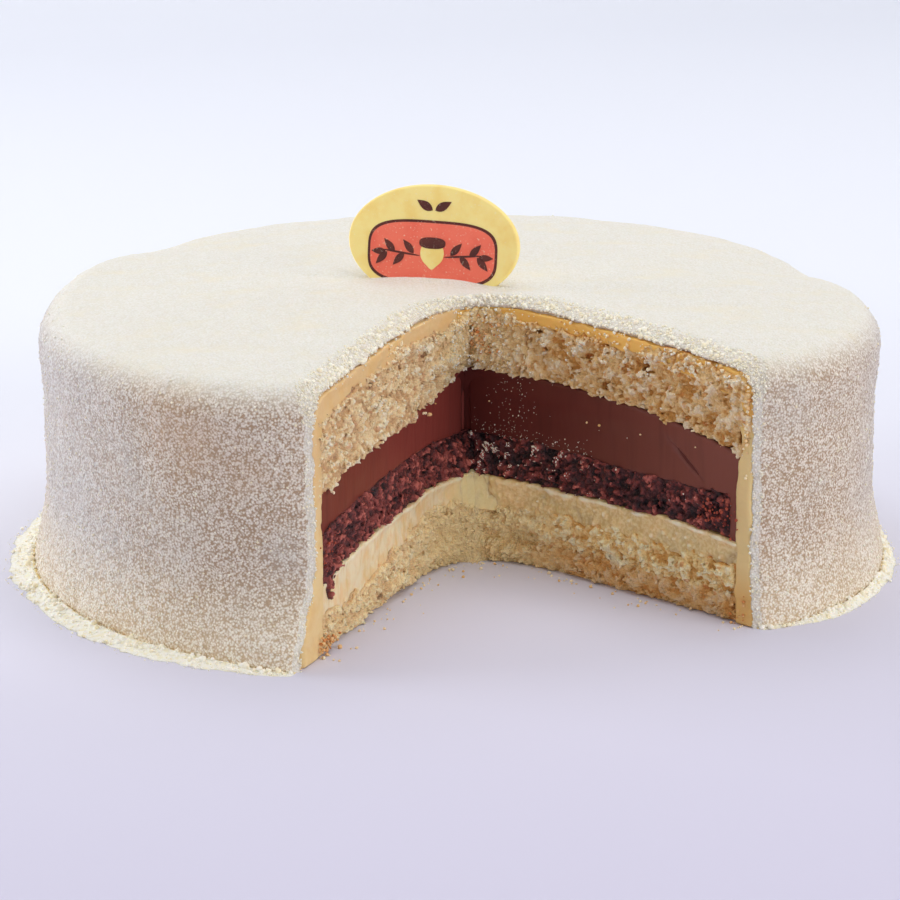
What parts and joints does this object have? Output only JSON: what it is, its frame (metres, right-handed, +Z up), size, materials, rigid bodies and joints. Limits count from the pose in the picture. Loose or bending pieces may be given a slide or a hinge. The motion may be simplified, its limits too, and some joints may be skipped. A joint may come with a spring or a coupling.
{
  "type": "layer cake",
  "caption": "Round powder-coated layer cake with a wedge cut out that shows sponge, cream and chocolate layers; an oval chocolate plaque stands on top.",
  "frame": {"origin": "middle of the footprint's bounding box, on the ground plane the cake stands on", "axes": "+Z up; the cut-out wedge opens towards -Y; the cake's own round axis runs up through x 1.4 mm, y -14.7 mm"},
  "size_m": [0.2667, 0.2372, 0.1119],
  "materials": {
    "bottom_sponge": "matt open vanilla crumb, golden with brown hollows",
    "cream": "smooth soft custard cream, satin, smeared",
    "chocolate_sponge": "dark matt chocolate crumb with red-brown lit grains",
    "ganache": "smooth dark chocolate filling, satin, faint upright streaks",
    "top_sponge": "matt open vanilla crumb, golden with brown hollows",
    "icing": "smooth ochre butter icing, satin",
    "powder_coat": "fine matt cream-white powder, loose at the rim and foot",
    "plaque": "pale yellow chocolate with a coral printed panel, lightly dusted"
  },
  "bodies": {
    "root": {"bottom_sponge": "bottom_sponge", "cream": "cream", "chocolate_sponge": "chocolate_sponge", "ganache": "ganache", "top_sponge": "top_sponge", "icing": "icing", "powder_coat": "powder_coat", "plaque": "plaque"}
  },
  "joints": []
}
